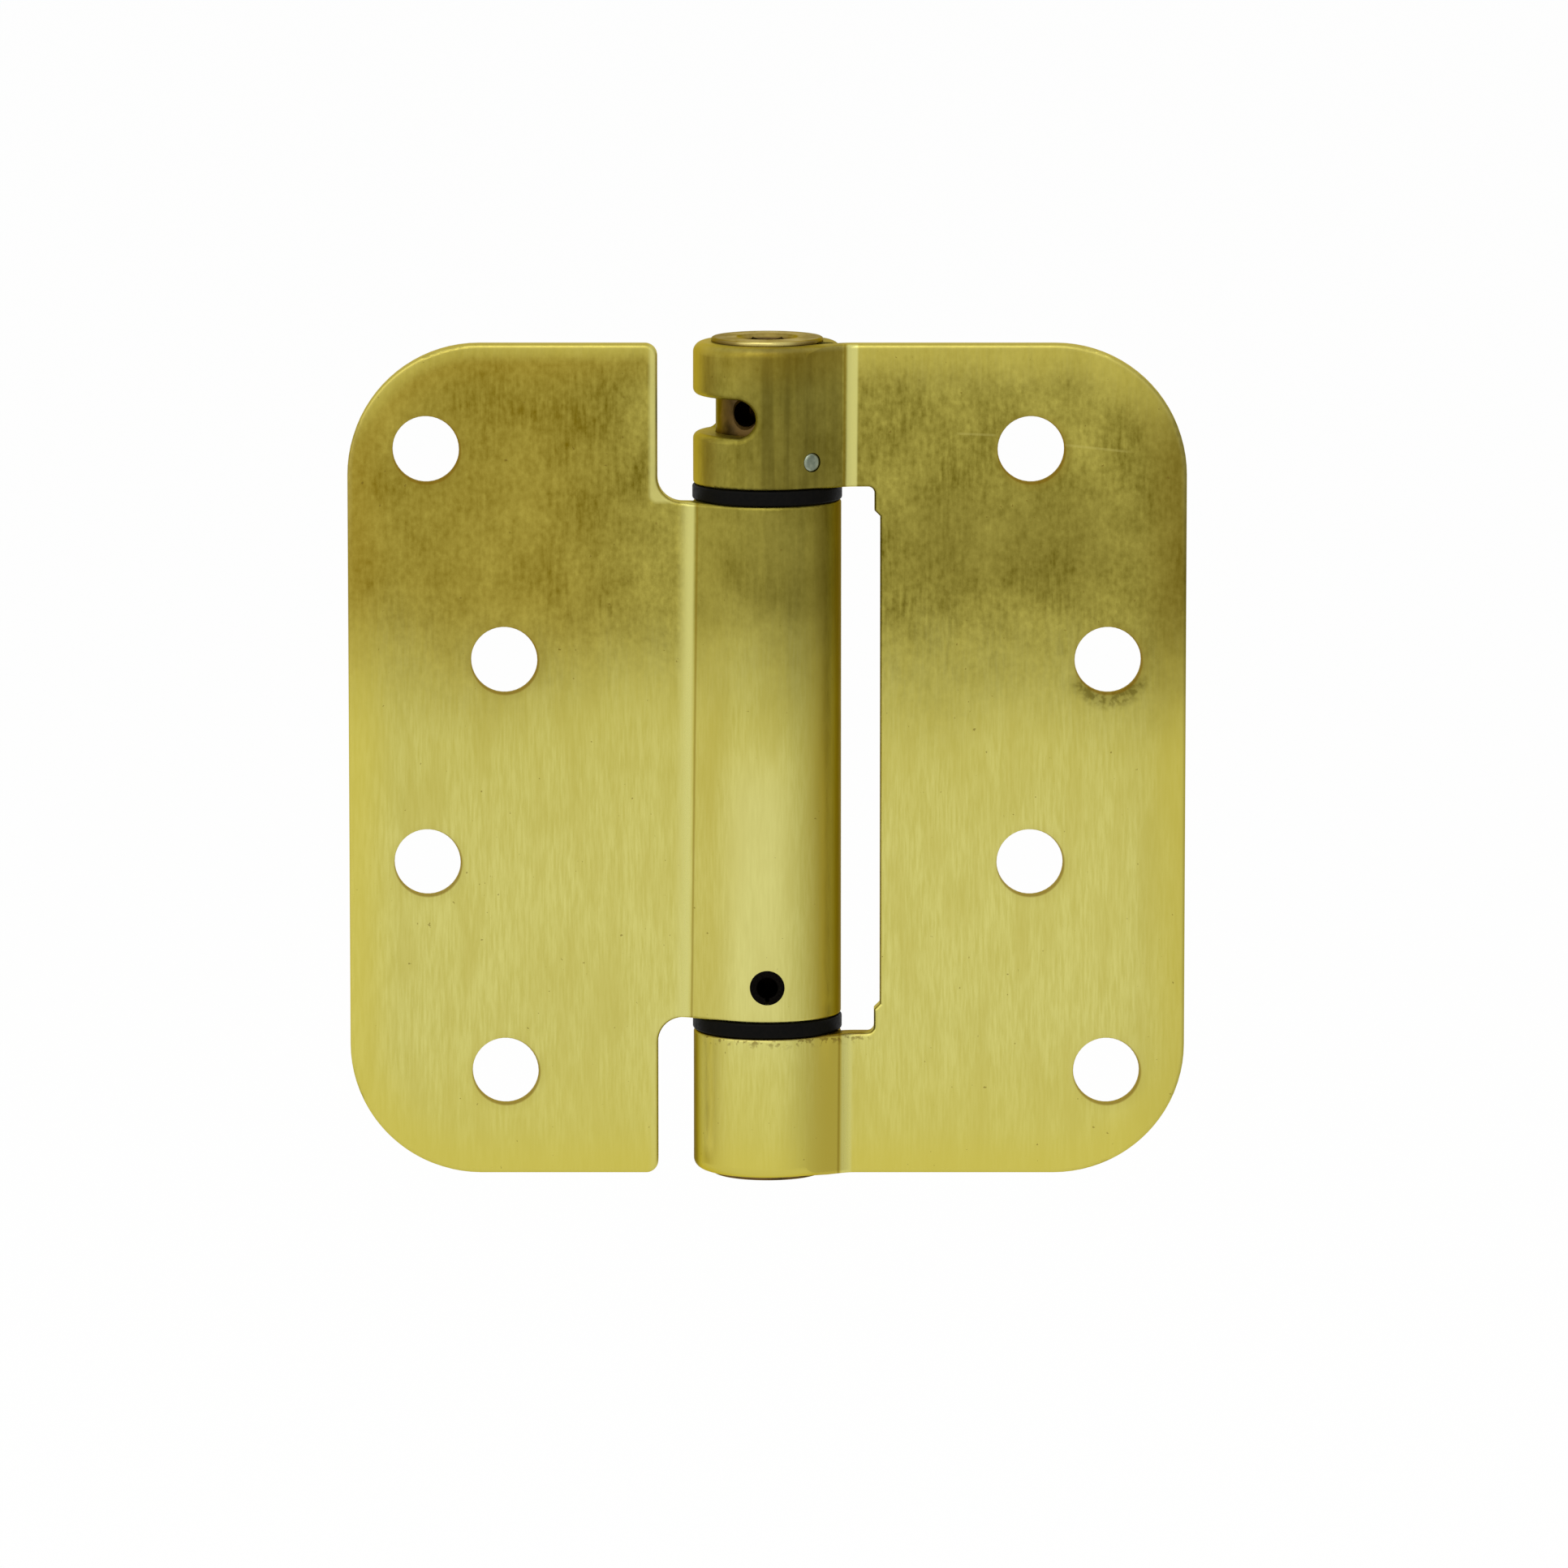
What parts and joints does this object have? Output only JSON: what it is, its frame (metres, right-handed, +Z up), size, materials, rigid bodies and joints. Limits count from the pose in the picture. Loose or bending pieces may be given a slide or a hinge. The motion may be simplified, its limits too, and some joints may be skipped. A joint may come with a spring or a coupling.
{
  "type": "self-closing hinge",
  "caption": "Single-acting spring butt hinge with round corners, adjusting plug, nylon bearings and countersunk screw holes.",
  "frame": {"origin": "on the pivot axis, midway between the ends of the hinge", "axes": "+Z up along the pivot, +X from the pivot across the frame leaf, +Y out of the exposed faces; the mounting faces look along -Y"},
  "size_m": [0.1016, 0.0182, 0.1028],
  "materials": {
    "brass_plated_steel": "satin brass plate",
    "turned_plug_steel": "turned, brass plated, dull",
    "bare_pin_steel": "ground",
    "blackened_pin_steel": "black oxide",
    "spring_steel": "drawn, oiled",
    "black_nylon": "moulded"
  },
  "bodies": {
    "frame": {"frame_leaf": "brass_plated_steel", "plug_retaining_pin": "bare_pin_steel", "lower_bearing": "black_nylon", "bottom_cap": "turned_plug_steel"},
    "door": {"door_leaf": "brass_plated_steel", "anchor_plug": "turned_plug_steel", "anchor_pin": "blackened_pin_steel", "upper_bearing": "black_nylon", "closing_spring": "spring_steel"},
    "adjuster": {"adjusting_plug": "turned_plug_steel"}
  },
  "joints": [
    {"name": "door_swing", "type": "hinge", "parent": "frame", "child": "door", "pos_m": [0, 0, 0], "axis": [0, 0, -1], "range_deg": [0, 180]},
    {"name": "adjuster_turn", "type": "hinge", "parent": "frame", "child": "adjuster", "pos_m": [0, 0, 0.0425], "axis": [0, 0, -1], "range_deg": [0, 270], "stiffness_Nm_per_rad": 0.6, "deforming": ["closing_spring"]}
  ]
}
